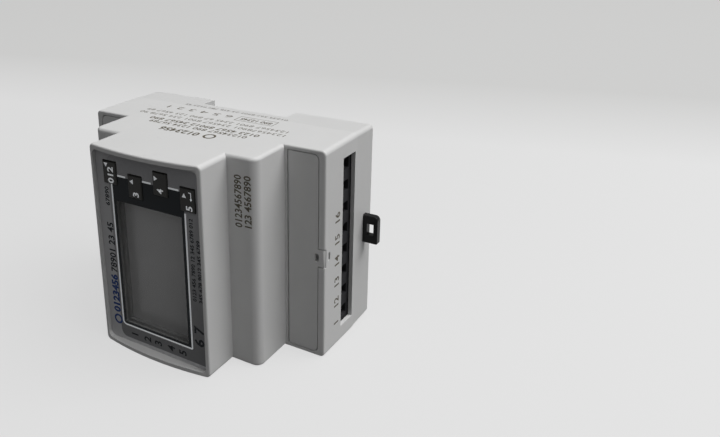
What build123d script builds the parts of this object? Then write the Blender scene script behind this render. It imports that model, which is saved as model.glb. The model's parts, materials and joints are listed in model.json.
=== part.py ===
"""A three-phase energy meter for a 35 mm rail, standing on its left end, one solid for each piece.

X runs along the height of the meter, from its upper to its lower terminals, Y runs from the display to
the rail, and Z goes up from the end that the meter stands on. All sizes are in millimetres.
"""
import os

from build123d import *

os.makedirs("parts", exist_ok=True)

# Outline of the case, which steps back twice on each side of the display
case_width = 72.0
case_height = 94.5
case_depth = 65.0
front_height = 44.5
shoulder_height = 65.5
front_bow = 2.2
shoulder_depth = 49.8
terminal_depth = 33.4
seam_depth = 12.0
wall = 1.4
front_wall = 1.8
rim_corner = 0.6
shoulder_corner = 3.0
terminal_corner = 0.6
side_rounding = 1.6
shoulder_rounding = 1.2

# Sunk overlay and display
rim_side = 1.25
rim_end = 1.6
rim_sink = 1.0
overlay_corner = 2.0
overlay_thickness = 0.5
view_side = 8.75
view_low = 8.9
view_top = 18.3
lens_margin = 0.8
lens_recess = 0.3
display_stack = 6.0
glass_margin = 1.5
glass_thickness = 2.6
bezel_lip = 1.6
bezel_wall = 0.9
contact_count = 16
contact_width = 0.5
contact_inset = 1.2

# Keys and their switches
key_width = 5.7
key_length = 7.8
key_side = 6.65
key_offset = 0.7
key_top = 9.0
key_row_step = 3.0
key_proud = 0.4
key_travel = 0.4
key_flange = 0.8
key_stem = 3.0
key_bevel = 0.3
switch_size = 6.0
switch_height = 3.5
plunger_radius = 1.7
plunger_proud = 0.75
plunger_root = 0.6

# Circuit boards
board_thickness = 1.6
board_gap = 1.25
metering_setback = 1.7
solder_gap = 1.9
post_radius = 2.0
post_edge = 2.9
post_gap = 3.5
post_inset = 8.0
display_post_radius = 1.6
display_post_inset = 2.4
header_ways = 8
header_pitch = 2.54
header_width = 2.5
header_strip = 2.5
header_bare = 5.8
header_pin = 0.64

# Screws, each with the radius and height of its head, the radius of its shank and its bite in the post
small_screw = (1.5, 1.2, 0.8, 4.0)
case_screw = (1.9, 1.3, 1.0, 5.0)
pilot_depth = 7.0
driver_width = 0.6
driver_share = 0.7
head_sides = 12
shank_sides = 8

# Terminal blocks
block_length = 10.8
block_height = 12.4
row_margin = 5.52
bottom_poles = 8
bottom_screw = (1.9, 1.8, 1.3)
top_poles = 12
top_screw = (1.5, 1.6, 1.0)
wire_height = 3.4
wire_rise = 4.3
wire_share = 0.47
screw_setback = 5.8
cage_length = 6.0
cage_height = 6.0
cage_drop = 0.3
cage_wall = 1.0
leg_width = 1.0
leg_thickness = 0.8
leg_proud = 0.8
neck_height = 0.8
slot_height = 8.3
slot_overlap = 0.28
slot_rise = 5.55
window_width = 6.4
window_margin = 0.7

# Terminal covers
cover_rim = 0.9
cover_margin = 2.25
cover_end = 1.3
cover_thickness = 1.5
cover_corner = 2.0
stub_radius = 0.45
stub_length = 0.8
tab_width = 6.4
tab_thickness = 0.9
seal_width = 1.2
seal_length = 2.7
seal_setback = 2.1
seal_depth = 2.4

# Rear base, rail notch and clip
base_step = 0.15
base_taper = 0.55
base_wall = 1.4
base_corner = 1.5
rail_width = 35.0
rail_play = 0.8
notch_shift = -0.3
rail_seat = 7.0
rail_flange = 1.0
hook_reach = 1.9
hook_length = 12.0
hook_height = 2.5
hook_edge = 0.6
hook_inset = 14.0
lip_height = 2.5
lip_thickness = 0.7
lip_half = 28.0
barb_width = 6.0
barb_height = 1.2
barb_reach = 0.6
barb_centre = 20.0
clip_width = 10.0
clip_thickness = 2.2
clip_reach = 5.2
clip_nose = 1.9
clip_hole_length = 4.1
clip_hole_width = 2.4
clip_hole_setback = 1.5
clip_corner = 1.6
clip_travel = 2.5
arm_thickness = 1.1
arm_gap = 1.4
arm_length = 10.5
arm_setback = 1.6
nose_edge_height = 0.7
bridge_length = 4.5

# Parts on the boards: length along X, height along Y and width along Z, then the place of each in X and
# Z from the middle of the board
controller_size = (12.0, 1.4, 12.0)
controller_place = (-4.0, -6.0)
meter_chip_size = (10.0, 1.4, 10.0)
meter_chip_place = (6.0, 8.0)
chip_bevel = 0.2
core_size = (20.0, 16.0, 10.0)
core_place = (8.0, -16.0)
core_rise = 1.5
core_leg = 6.0
core_window = (4.0, 10.0)
coil_gap = 0.2
coil_rounding = 1.5
coil_foot = 1.0
can_sides = 16
smoothing_radius = 5.0
smoothing_height = 15.0
smoothing_places = ((14.0, 10.0), (14.0, 22.0))
groove_rise = 13.4
groove_width = 0.6
groove_depth = 0.3
film_size = (8.0, 12.0, 18.0)
film_place = (-4.0, 14.0)
film_rounding = 0.8
varistor_radius = 5.0
varistor_thickness = 3.2
varistor_rise = 8.0
varistor_places = ((20.0, -4.0), (25.0, -4.0), (30.0, -4.0))
lead_spacing = 5.0
lead_thickness = 0.8
coupler_size = (6.4, 3.4, 4.8)
coupler_places = ((-27.0, -16.0), (-27.0, -4.0))
coupler_rise = 0.6
coupler_lead = (0.7, 2.4, 0.6)

# Clearances between pieces that fit each other, and how far a cut runs past a face
fit = 0.1
hair = 0.05
past = 1.0

# Where the main faces lie
back = case_depth / 2
middle = case_width / 2
end_x = case_height / 2
shoulder_x = shoulder_height / 2
front_x = front_height / 2
front_edge = -back + front_bow
shoulder_y = back - shoulder_depth
terminal_y = back - terminal_depth
seam_y = back - seam_depth
overlay_y = front_edge + rim_sink
pocket_y = overlay_y + overlay_thickness
inside_y = pocket_y + front_wall
display_board_y = inside_y + display_stack
metering_board_y = terminal_y - metering_setback
seat_y = back - rail_seat
power_board_y = seat_y - base_wall - solder_gap - board_thickness
notch_low = notch_shift - (rail_width + rail_play) / 2
notch_high = notch_shift + (rail_width + rail_play) / 2
view_width = front_height - 2 * view_side
view_high = case_width - view_top


def facing(y):
    """A sketch plane that looks out of the display, at a depth."""
    return Plane(origin=(0, y, 0), x_dir=(1, 0, 0), z_dir=(0, -1, 0))


def block(x, y, z, mode=Mode.ADD):
    """A box between two values on each axis."""
    low_x, high_x = sorted(x)
    low_y, high_y = sorted(y)
    low_z, high_z = sorted(z)
    with Locations(((low_x + high_x) / 2, (low_y + high_y) / 2, (low_z + high_z) / 2)):
        Box(high_x - low_x, high_y - low_y, high_z - low_z, mode=mode)


def pegs(centres, radius, y, mode=Mode.ADD, sides=head_sides):
    """Small rods along Y, or their holes, with few sides because there are many of them."""
    low_y, high_y = sorted(y)
    with BuildSketch(facing(high_y)) as ends:
        with Locations(*centres):
            RegularPolygon(radius, sides)
    extrude(ends.sketch, amount=high_y - low_y, mode=mode)


def around(centre, half):
    """The two values at half on each side of a centre."""
    return (centre - half, centre + half)


def at_side(edge, x):
    """Whether an edge lies at a distance from the middle of the height, on either side."""
    return abs(abs(edge.center().X) - x) < fit


def on_board(place):
    """A place on a board, given from the middle of the board, as a place in the meter."""
    return (place[0], middle + place[1])


def save(piece, name):
    """Labels a finished piece and writes it."""
    piece.part.label = name
    export_step(piece.part, f"parts/{name}.step")


def upon(y, size, place):
    """A box of a given size that stands on a board, in front of it, at a place given in X and Z."""
    block(around(place[0], size[0] / 2), (y - size[1], y), around(place[1], size[2] / 2))


def screws(name, centres, seat, into, screw, slots=2):
    """A group of screws along Y, whose heads end at the seat and whose shanks go on from it."""
    head_radius, head_height, shank_radius, shank_length = screw
    top = seat - into * head_height
    slot_floor = top + into * head_height / 2
    with BuildPart() as group:
        pegs(centres, head_radius, (top, seat))
        pegs(centres, shank_radius, (seat, seat + into * shank_length), sides=shank_sides)
        with BuildSketch(facing(max(top, slot_floor))) as slots_in_heads:
            with Locations(*centres):
                for turn in range(slots):
                    Rectangle(driver_width, 2 * head_radius * driver_share, rotation=90 * turn)
        extrude(slots_in_heads.sketch, amount=head_height / 2, mode=Mode.SUBTRACT)
    save(group, name)


def through(screw):
    """A screw with its shank longer by the thickness of the board that it holds."""
    head_radius, head_height, shank_radius, bite = screw
    return (head_radius, head_height, shank_radius, board_thickness + bite)


# Places of the keys, in two staggered rows
key_names = ["voltage", "demand", "power", "energy"]
key_places = []
key_pitch = 2 * (front_x - key_side) / (len(key_names) - 1)
for index in range(len(key_names)):
    key_x = key_offset + (index - (len(key_names) - 1) / 2) * key_pitch
    key_z = case_width - key_top - key_row_step * (index % 2)
    key_places.append((key_x, key_z))

# Screw posts of the display board, beside the display, and of the other two boards
display_board_x = front_x - wall - board_gap
display_board_z = (wall + board_gap, case_width - wall - board_gap)
bezel_half = view_width / 2 + glass_margin + fit + bezel_wall
bezel_z = (view_low - 2 * glass_margin, view_high + glass_margin)
display_post_x = (bezel_half + fit + front_x - wall) / 2
display_posts = []
for z in (display_board_z[0] + display_post_inset, bezel_z[1] - display_post_inset):
    for side in (-1, 1):
        display_posts.append((side * display_post_x, z))
metering_half = shoulder_x - wall - board_gap
block_face = end_x - max(wall, base_step + base_wall) - 2 * fit
power_post_x = block_face - block_length - post_gap - post_radius
metering_posts = []
power_posts = []
for z in (post_inset, case_width - post_inset):
    for side in (-1, 1):
        metering_posts.append((side * (metering_half - post_edge), z))
        power_posts.append((side * power_post_x, z))

# Places of the terminals, worked out for the side of the lower terminals
row_length = case_width - 2 * row_margin
block_top = power_board_y - block_height
screw_x = block_face - screw_setback
wire_y = power_board_y - wire_rise
slot_y = around(power_board_y - slot_rise, slot_height / 2)
slot_z = around(middle, row_length / 2 - slot_overlap)
window_x = around(screw_x, window_width / 2)
window_z = (slot_z[0] - window_margin, slot_z[1] + window_margin)

# Places of the covers, on the same side
recess_x = (shoulder_x + cover_rim, end_x - cover_margin)
recess_z = (cover_end, case_width - cover_end)
recess_depth = cover_thickness + 2 * fit
pivot_x = recess_x[0] + fit + cover_thickness / 2
pivot_y = terminal_y + cover_thickness / 2
seal_x = around(end_x - seal_setback - seal_width / 2, seal_width / 2)
seal_z = around(middle, seal_length / 2)
seal_y = (terminal_y + seal_depth, terminal_y + seal_depth + seal_width)

# Front case: the stepped shell, open at the back
with BuildPart() as front_case:
    with BuildSketch() as case_outline:
        with BuildLine():
            Polyline(
                (front_x, front_edge),
                (front_x, shoulder_y),
                (shoulder_x, shoulder_y),
                (shoulder_x, terminal_y),
                (end_x, terminal_y),
                (end_x, seam_y),
                (-end_x, seam_y),
                (-end_x, terminal_y),
                (-shoulder_x, terminal_y),
                (-shoulder_x, shoulder_y),
                (-front_x, shoulder_y),
                (-front_x, front_edge),
            )
            ThreePointArc((-front_x, front_edge), (0, -back), (front_x, front_edge))
        make_face()
        for side in (-1, 1):
            nearest = case_outline.vertices().sort_by_distance((side * shoulder_x, shoulder_y, 0))[0]
            fillet(nearest, shoulder_corner)
    extrude(amount=case_width)

    # Soft edges along the sides of each tier, then the crisper ones round the front of each
    for tier_x, radius in ((front_x, side_rounding), (end_x, side_rounding), (shoulder_x, shoulder_rounding)):
        end_edges = front_case.edges().group_by(Axis.Z)[0] + front_case.edges().group_by(Axis.Z)[-1]
        fillet([edge for edge in end_edges.filter_by(Axis.Y) if at_side(edge, tier_x)], radius)
    for tier_x, tier_y, radius in ((front_x, front_edge, rim_corner), (end_x, terminal_y, terminal_corner)):
        upright = front_case.edges().filter_by(Axis.Z)
        near = [edge for edge in upright if at_side(edge, tier_x) and abs(edge.center().Y - tier_y) < fit]
        fillet(near, radius)

    # Hollow of each tier
    inner_z = (wall, case_width - wall)
    block(around(0, front_x - wall), (inside_y, seam_y + past), inner_z, Mode.SUBTRACT)
    block(around(0, shoulder_x - wall), (shoulder_y + wall, seam_y + past), inner_z, Mode.SUBTRACT)
    hollow_y = terminal_y + recess_depth + wall
    block(around(0, end_x - wall), (hollow_y, seam_y + past), inner_z, Mode.SUBTRACT)

    # Pocket of the overlay behind the curved rim
    with BuildSketch(facing(pocket_y)):
        with Locations((0, middle)):
            RectangleRounded(2 * (front_x - rim_side), case_width - 2 * rim_end, overlay_corner)
    extrude(amount=pocket_y + back + past, mode=Mode.SUBTRACT)

    # Openings of the window and the keys
    front_skin = (pocket_y - fit, inside_y + fit)
    lens_half = view_width / 2 + lens_margin
    lens_z = (view_low - lens_margin, view_high + lens_margin)
    block(around(0, lens_half + hair), front_skin, (lens_z[0] - hair, lens_z[1] + hair), Mode.SUBTRACT)
    for key_x, key_z in key_places:
        hole_x = around(key_x, key_width / 2 + fit)
        hole_z = around(key_z, key_length / 2 + fit)
        block(hole_x, front_skin, hole_z, Mode.SUBTRACT)

    # Screw posts
    pegs(display_posts, display_post_radius, (inside_y - fit, display_board_y))
    pilot_y = (inside_y + fit, display_board_y)
    pegs(display_posts, small_screw[2] + hair, pilot_y, Mode.SUBTRACT, shank_sides)
    pegs(metering_posts, post_radius, (shoulder_y + wall - fit, metering_board_y))
    pilot_y = (metering_board_y - pilot_depth, metering_board_y)
    pegs(metering_posts, case_screw[2] + hair, pilot_y, Mode.SUBTRACT, shank_sides)

    for side in (-1, 1):
        # Recess of the cover, with the holes of its stub pins, the seal passage and the notch of its tab
        with BuildSketch(facing(terminal_y + recess_depth)) as recess:
            with Locations((side * sum(recess_x) / 2, middle)):
                Rectangle(recess_x[1] - recess_x[0], recess_z[1] - recess_z[0])
            outer = recess.vertices().sort_by_distance((side * 2 * end_x, middle))[:2]
            fillet(outer, cover_corner)
        extrude(amount=recess_depth + past, mode=Mode.SUBTRACT)
        with BuildSketch(Plane.XY.offset(recess_z[0] - stub_length - fit)):
            with Locations((side * pivot_x, pivot_y)):
                RegularPolygon(stub_radius + hair, head_sides)
        stub_hole = recess_z[1] - recess_z[0] + 2 * (stub_length + fit)
        extrude(amount=stub_hole, mode=Mode.SUBTRACT)
        notch_x = (side * (recess_x[1] - past), side * (end_x + past))
        notch_y = (terminal_y - past, terminal_y + tab_thickness + fit)
        block(notch_x, notch_y, around(middle, tab_width / 2 + fit), Mode.SUBTRACT)
        seal_in = (side * seal_x[0], side * seal_x[1])
        block(seal_in, (terminal_y, seal_y[1]), seal_z, Mode.SUBTRACT)
        block((side * seal_x[0], side * (end_x + past)), seal_y, seal_z, Mode.SUBTRACT)

        # Window over the terminal screws and slot for the wires
        over_screws = (side * window_x[0], side * window_x[1])
        block(over_screws, (terminal_y, hollow_y + past), window_z, Mode.SUBTRACT)
        through_wall = (side * (end_x - wall - past), side * (end_x + past))
        block(through_wall, slot_y, slot_z, Mode.SUBTRACT)

        # Pockets for the barbs of the base
        barb_x = around(side * barb_centre, barb_width / 2 + fit)
        barb_y = (seam_y - lip_height, seam_y - lip_height + barb_height + fit)
        for face, inward in ((wall, 1), (case_width - wall, -1)):
            barb_z = (face - inward * (barb_reach + fit), face + inward * past)
            block(barb_x, barb_y, barb_z, Mode.SUBTRACT)
save(front_case, "front_case")

# Rear base: tapers to the back, with the rail notch between its two feet
with BuildPart() as rear_base:
    with BuildSketch(facing(seam_y)):
        with Locations((0, middle)):
            RectangleRounded(case_height - 2 * base_step, case_width - 2 * base_step, base_corner)
    with BuildSketch(facing(back)):
        with Locations((0, middle)):
            RectangleRounded(case_height - 4 * base_step, case_width - 2 * base_taper, base_corner)
    loft(ruled=True)
    base_x = end_x - base_step - base_wall
    base_z = (base_wall + base_step, case_width - base_wall - base_step)
    block(around(0, base_x), (seam_y - past, seat_y - base_wall), base_z, Mode.SUBTRACT)
    feet = ((-base_x, notch_low - base_wall), (notch_high + base_wall, base_x))
    for foot_x in feet:
        block(foot_x, (seam_y - past, back - base_wall), base_z, Mode.SUBTRACT)
    notch_z = (-past, case_width + past)
    block((notch_low, notch_high), (seat_y, back + past), notch_z, Mode.SUBTRACT)

    # Registration lips with their barbs, inside the side walls of the case
    for face, inward in ((wall, 1), (case_width - wall, -1)):
        lip_z = (face + inward * hair, face + inward * (hair + lip_thickness))
        block(around(0, lip_half), (seam_y - lip_height, seam_y + lip_height), lip_z)
        for side in (-1, 1):
            barb_z = (face - inward * barb_reach, face + inward * (hair + lip_thickness))
            barb_x = around(side * barb_centre, barb_width / 2)
            barb_y = (seam_y - lip_height + fit, seam_y - lip_height + barb_height)
            block(barb_x, barb_y, barb_z)

    # Posts that carry the power board
    power_back = power_board_y + board_thickness
    pegs(power_posts, post_radius, (power_back, back - base_wall / 2))
    pilot_y = (power_back, back - base_wall)
    pegs(power_posts, case_screw[2] + hair, pilot_y, Mode.SUBTRACT, shank_sides)

    # Fixed hooks on the upper wall of the notch, each with a ramp towards the back
    hook_y = seat_y + rail_flange + 2 * fit
    for hook_z in (hook_inset, case_width - hook_inset):
        with BuildSketch(Plane.XY.offset(hook_z - hook_length / 2)):
            with BuildLine():
                Polyline(
                    (notch_low - base_wall / 2, hook_y),
                    (notch_low + hook_reach, hook_y),
                    (notch_low + hook_reach, hook_y + hook_edge),
                    (notch_low, hook_y + hook_height),
                    (notch_low - base_wall / 2, hook_y + hook_height),
                    close=True,
                )
            make_face()
        extrude(amount=hook_length)

    # Channel of the clip, with a wider pocket for its two spring arms
    clip_y = (hook_y, hook_y + clip_thickness)
    channel_y = (clip_y[0] - fit, clip_y[1] + fit)
    channel_z = around(middle, clip_width / 2 + fit)
    arm_reach = clip_width / 2 + arm_gap + arm_thickness
    pocket_z = around(middle, arm_reach + 2 * fit)
    arm_start = notch_high + base_wall + arm_setback
    arm_x = (arm_start, arm_start + arm_length)
    pocket_x = (arm_x[0] - 2 * fit, arm_x[1] + clip_travel + fit)
    solid_x = notch_high + base_wall / 2
    solid_y = (channel_y[0] - base_wall, back - base_wall / 2)
    block((solid_x, base_x), solid_y, around(middle, clip_width / 2 + fit + base_wall))
    block((solid_x, pocket_x[1] + base_wall), solid_y, around(middle, arm_reach + base_wall))
    block((notch_high - past, end_x + past), channel_y, channel_z, Mode.SUBTRACT)
    open_y = (channel_y[0], back + past)
    block(pocket_x, open_y, pocket_z, Mode.SUBTRACT)
    window_end = base_x - bridge_length
    block((pocket_x[1] - past, window_end), open_y, around(middle, clip_width / 3), Mode.SUBTRACT)
save(rear_base, "rear_base")

# Rail clip: a nose under the rail, two spring arms and a tab with a hole for a screwdriver
with BuildPart() as din_clip:
    nose_x = notch_high - clip_nose
    tip_x = end_x + clip_reach
    with BuildSketch(facing(clip_y[1])) as clip_shape:
        with Locations(((nose_x + tip_x) / 2, middle)):
            Rectangle(tip_x - nose_x, clip_width)
        upper_tip = clip_shape.vertices().sort_by_distance((tip_x, middle + clip_width / 2))[0]
        fillet(upper_tip, clip_corner)
        lower_tip = clip_shape.vertices().sort_by_distance((tip_x, middle - clip_width / 2))[0]
        fillet(lower_tip, clip_corner / 4)
        with Locations((tip_x - clip_hole_setback - clip_hole_width / 2, middle)):
            Rectangle(clip_hole_width, clip_hole_length, mode=Mode.SUBTRACT)
    extrude(amount=clip_thickness)
    for up in (-1, 1):
        root_z = (middle + up * (clip_width - arm_thickness) / 2, middle + up * arm_reach)
        block((arm_x[0], arm_x[0] + arm_thickness), clip_y, root_z)
        bent = arm_reach - arm_gap / 2
        with BuildSketch(facing(clip_y[1])):
            with BuildLine():
                Polyline(
                    (arm_x[0] + arm_thickness / 2, middle + up * (arm_reach - arm_thickness)),
                    (arm_x[0] + arm_thickness / 2, middle + up * arm_reach),
                    (arm_x[1], middle + up * bent),
                    (arm_x[1], middle + up * (bent - arm_thickness)),
                    close=True,
                )
            make_face()
        extrude(amount=clip_thickness)
    nose_edge = din_clip.edges().filter_by(Axis.Z).sort_by_distance((nose_x, clip_y[1], middle))[0]
    chamfer(nose_edge, clip_thickness - nose_edge_height, clip_nose - fit)
save(din_clip, "din_clip")

# Terminal covers: a plate with a round hinge edge, stub pins, a tab and a seal slot
with BuildPart() as terminal_cover_bottom:
    cover_x = (pivot_x, recess_x[1] - fit)
    cover_z = (recess_z[0] + fit, recess_z[1] - fit)
    with BuildSketch(facing(terminal_y + cover_thickness)) as cover_shape:
        with Locations((sum(cover_x) / 2, middle)):
            Rectangle(cover_x[1] - cover_x[0], cover_z[1] - cover_z[0])
        outer = cover_shape.vertices().sort_by_distance((2 * end_x, middle))[:2]
        fillet(outer, cover_corner - fit)
    extrude(amount=cover_thickness)
    with Locations((pivot_x, pivot_y, middle)):
        Cylinder(cover_thickness / 2, cover_z[1] - cover_z[0])
    with BuildSketch(Plane.XY.offset(cover_z[0] - stub_length)):
        with Locations((pivot_x, pivot_y)):
            RegularPolygon(stub_radius, head_sides)
    extrude(amount=cover_z[1] - cover_z[0] + 2 * stub_length)
    with BuildSketch(Plane.XY.offset(middle - tab_width / 2)) as tab_shape:
        with Locations((end_x - cover_margin, terminal_y + cover_margin)):
            Rectangle(2 * cover_margin, 2 * cover_margin)
        tab_corner = tab_shape.vertices().sort_by_distance((end_x, terminal_y, 0))[0]
        fillet(tab_corner, terminal_corner)
        with Locations((end_x - cover_margin, terminal_y + tab_thickness / 2)):
            Rectangle(2 * cover_margin, tab_thickness, mode=Mode.INTERSECT)
    extrude(amount=tab_width)
    block(seal_x, (terminal_y - past, terminal_y + cover_thickness + past), seal_z, Mode.SUBTRACT)
save(terminal_cover_bottom, "terminal_cover_bottom")

with BuildPart() as terminal_cover_top:
    add(terminal_cover_bottom.part)
    mirror(about=Plane.YZ, mode=Mode.REPLACE)
save(terminal_cover_top, "terminal_cover_top")

# Overlay: a flat sheet with openings for the window and the keys
with BuildPart() as front_overlay:
    with BuildSketch(facing(pocket_y)):
        with Locations((0, middle)):
            RectangleRounded(
                2 * (front_x - rim_side - fit),
                case_width - 2 * (rim_end + fit),
                overlay_corner - fit,
            )
    extrude(amount=overlay_thickness)
    sheet_y = (overlay_y - past, pocket_y + past)
    view_half = view_width / 2
    block(around(0, view_half), sheet_y, (view_low, view_high), Mode.SUBTRACT)
    for key_x, key_z in key_places:
        hole_x = around(key_x, key_width / 2 + fit)
        block(hole_x, sheet_y, around(key_z, key_length / 2 + fit), Mode.SUBTRACT)
save(front_overlay, "front_overlay")

# Window: a clear lens, flush with the overlay, with a step behind it
with BuildPart() as display_window:
    lens_back = inside_y - lens_recess
    block(around(0, lens_half), (pocket_y, lens_back), lens_z)
    raised_z = (view_low + hair, view_high - hair)
    block(around(0, view_half - hair), (overlay_y, pocket_y + fit), raised_z)
save(display_window, "display_window")

# Display: black bezel, glass, light guide and contacts
bezel_y = inside_y + fit
glass_y = (bezel_y + bezel_lip, bezel_y + bezel_lip + glass_thickness)
glass_half = view_width / 2 + glass_margin
glass_z = (bezel_z[0] + bezel_wall + fit, bezel_z[1] - bezel_wall - fit)
contact_z = glass_z[0] + contact_inset
with BuildPart() as lcd_bezel:
    block(around(0, bezel_half), (bezel_y, display_board_y), bezel_z)
    inner_half = bezel_half - bezel_wall
    inner_z = (bezel_z[0] + bezel_wall, bezel_z[1] - bezel_wall)
    block(around(0, inner_half), (glass_y[0], display_board_y + past), inner_z, Mode.SUBTRACT)
    lip_y = (bezel_y - past, glass_y[0] + past)
    block(around(0, view_half), lip_y, (view_low, view_high), Mode.SUBTRACT)
    lip_edges = lcd_bezel.edges().filter_by(lambda edge: abs(edge.center().Y - bezel_y) < hair)
    opening_edges = lip_edges.sort_by_distance((0, bezel_y, (view_low + view_high) / 2))[:4]
    chamfer(opening_edges, bezel_lip / 2)
save(lcd_bezel, "lcd_bezel")

with BuildPart() as lcd_glass:
    block(around(0, glass_half), glass_y, glass_z)
save(lcd_glass, "lcd_glass")

with BuildPart() as lcd_light_guide:
    block(around(0, glass_half), (glass_y[1], display_board_y), (contact_z + contact_inset, glass_z[1]))
save(lcd_light_guide, "lcd_light_guide")

with BuildPart() as lcd_pins:
    contact_pitch = 2 * glass_half / contact_count
    for index in range(contact_count):
        contact_x = around((index - (contact_count - 1) / 2) * contact_pitch, contact_width / 2)
        block(contact_x, (glass_y[1], display_board_y), around(contact_z, contact_width / 2))
save(lcd_pins, "lcd_pins")

# Keys, each with the plunger of its switch, and the four switch bodies in one group
switch_top = display_board_y - switch_height
plunger_front = switch_top - plunger_proud
for key_name, (key_x, key_z) in zip(key_names, key_places):
    with BuildPart() as key:
        flange_y = (inside_y + hair, inside_y + hair + key_flange)
        with BuildSketch(facing(flange_y[0] + key_flange / 2)):
            with Locations((key_x, key_z)):
                Rectangle(key_width, key_length)
        extrude(amount=flange_y[0] + key_flange / 2 - overlay_y + key_proud)
        front_edges = key.faces().sort_by(Axis.Y)[0].edges()
        chamfer(front_edges, key_bevel)
        flange_z = around(key_z, key_length / 2 - key_flange)
        block(around(key_x, key_width / 2 + key_flange), flange_y, flange_z)
        stem_y = (flange_y[0], plunger_front)
        block(around(key_x, key_stem / 2), stem_y, around(key_z, key_stem / 2))
    save(key, f"key_{key_name}")
    with BuildPart() as plunger:
        pegs([(key_x, key_z)], plunger_radius, (plunger_front, switch_top + plunger_root))
    save(plunger, f"plunger_{key_name}")

with BuildPart() as key_switches:
    for key_x, key_z in key_places:
        switch_half = switch_size / 2
        switch_y = (switch_top, display_board_y)
        block(around(key_x, switch_half), switch_y, around(key_z, switch_half))
    well_y = (switch_top - fit, switch_top + plunger_root + key_travel + fit)
    pegs(key_places, plunger_radius + hair, well_y, Mode.SUBTRACT)
save(key_switches, "key_switches")

# Display board with its screws, driven from the back
display_back = display_board_y + board_thickness
with BuildPart() as display_board:
    block(around(0, display_board_x), (display_board_y, display_back), display_board_z)
    clear_y = (display_board_y - past, display_back + past)
    pegs(display_posts, small_screw[2] + fit, clear_y, Mode.SUBTRACT, shank_sides)
save(display_board, "display_board")
screws("display_screws", display_posts, display_back, -1, through(small_screw))

with BuildPart() as controller_chip:
    upon(display_back + controller_size[1], controller_size, on_board(controller_place))
    chamfer(controller_chip.faces().sort_by(Axis.Y)[-1].edges(), chip_bevel)
save(controller_chip, "controller_chip")

# Metering board on the posts of the shoulders
metering_back = metering_board_y + board_thickness
with BuildPart() as metering_board:
    block(around(0, metering_half), (metering_board_y, metering_back), display_board_z)
    clear_y = (metering_board_y - past, metering_back + past)
    pegs(metering_posts, case_screw[2] + fit, clear_y, Mode.SUBTRACT, shank_sides)
save(metering_board, "metering_board")
screws("metering_screws", metering_posts, metering_back, -1, through(case_screw))

with BuildPart() as metering_chip:
    upon(metering_board_y, meter_chip_size, on_board(meter_chip_place))
    chamfer(metering_chip.faces().sort_by(Axis.Y)[0].edges(), chip_bevel)
save(metering_chip, "metering_chip")


def header(name, x, from_y, to_y):
    """A row of pins between two boards, with a strip on the first and a socket on the second."""
    row = [middle + (index - (header_ways - 1) / 2) * header_pitch for index in range(header_ways)]
    row_z = around(middle, header_ways * header_pitch / 2)
    row_x = around(x, header_width / 2)
    pin_x = around(x, header_pin / 2)
    socket_y = (from_y + header_strip + header_bare, to_y)
    pin_end = sum(socket_y) / 2
    with BuildPart() as strip:
        block(row_x, (from_y, from_y + header_strip), row_z)
        for z in row:
            block(pin_x, (from_y - past, to_y), around(z, header_pin / 2), Mode.SUBTRACT)
    save(strip, f"{name}_strip")
    with BuildPart() as pins:
        for z in row:
            block(pin_x, (from_y, pin_end), around(z, header_pin / 2))
    save(pins, f"{name}_pins")
    with BuildPart() as socket:
        block(row_x, socket_y, row_z)
        for z in row:
            well_x = around(x, header_pin / 2 + hair)
            well_y = (socket_y[0] - past, pin_end + fit)
            block(well_x, well_y, around(z, header_pin / 2 + hair), Mode.SUBTRACT)
    save(socket, f"{name}_socket")


header("display_header", metering_half / 2, display_back, metering_board_y)
header("power_header", -metering_half / 2, metering_back, power_board_y)


def terminals(name, side, poles, screw):
    """A terminal block with one cage and one screw for each pole, on one side of the meter."""
    head_radius, head_height, shank_radius = screw
    pitch = row_length / poles
    row = [middle + (index - (poles - 1) / 2) * pitch for index in range(poles)]
    hole_half = pitch * wire_share / 2
    hole_y = around(wire_y, wire_height / 2)
    cage_half = pitch / 2 - cage_wall
    cage_y = around(wire_y + cage_drop, cage_height / 2)
    cage_x = around(side * screw_x, cage_length / 2)
    head_seat = cage_y[0] - neck_height
    centres = [(side * screw_x, z) for z in row]
    with BuildPart() as housing:
        body_x = (side * block_face, side * (block_face - block_length))
        block(body_x, (block_top, power_board_y), slot_z)
        cell_x = (cage_x[0] - fit, cage_x[1] + fit)
        cell_y = (cage_y[0] - fit, power_board_y + past)
        wire_x = (side * screw_x, side * (block_face + past))
        for z in row:
            block(cell_x, cell_y, around(z, cage_half + fit), Mode.SUBTRACT)
            block(wire_x, hole_y, around(z, hole_half), Mode.SUBTRACT)
        pegs(centres, head_radius + 2 * fit, (block_top - past, head_seat), Mode.SUBTRACT)
        pegs(centres, shank_radius + 2 * fit, (block_top, cage_y[0]), Mode.SUBTRACT, shank_sides)
    save(housing, f"terminal_block_{name}")
    with BuildPart() as cages:
        for z in row:
            block(cage_x, cage_y, around(z, cage_half))
            passage_x = (cage_x[0] - past, cage_x[1] + past)
            block(passage_x, hole_y, around(z, hole_half), Mode.SUBTRACT)
            leg_y = (cage_y[1] - fit, power_back + leg_proud)
            block(around(side * screw_x, leg_width / 2), leg_y, around(z, leg_thickness / 2))
        pegs(centres, shank_radius + hair, (cage_y[0] - past, wire_y), Mode.SUBTRACT, shank_sides)
    save(cages, f"clamp_cages_{name}")
    shank_length = hole_y[0] - head_seat
    terminal_screw = (head_radius, head_height, shank_radius, shank_length)
    screws(f"terminal_screws_{name}", centres, head_seat, 1, terminal_screw, slots=1)
    return row


bottom_row = terminals("bottom", 1, bottom_poles, bottom_screw)
top_row = terminals("top", -1, top_poles, top_screw)

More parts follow.
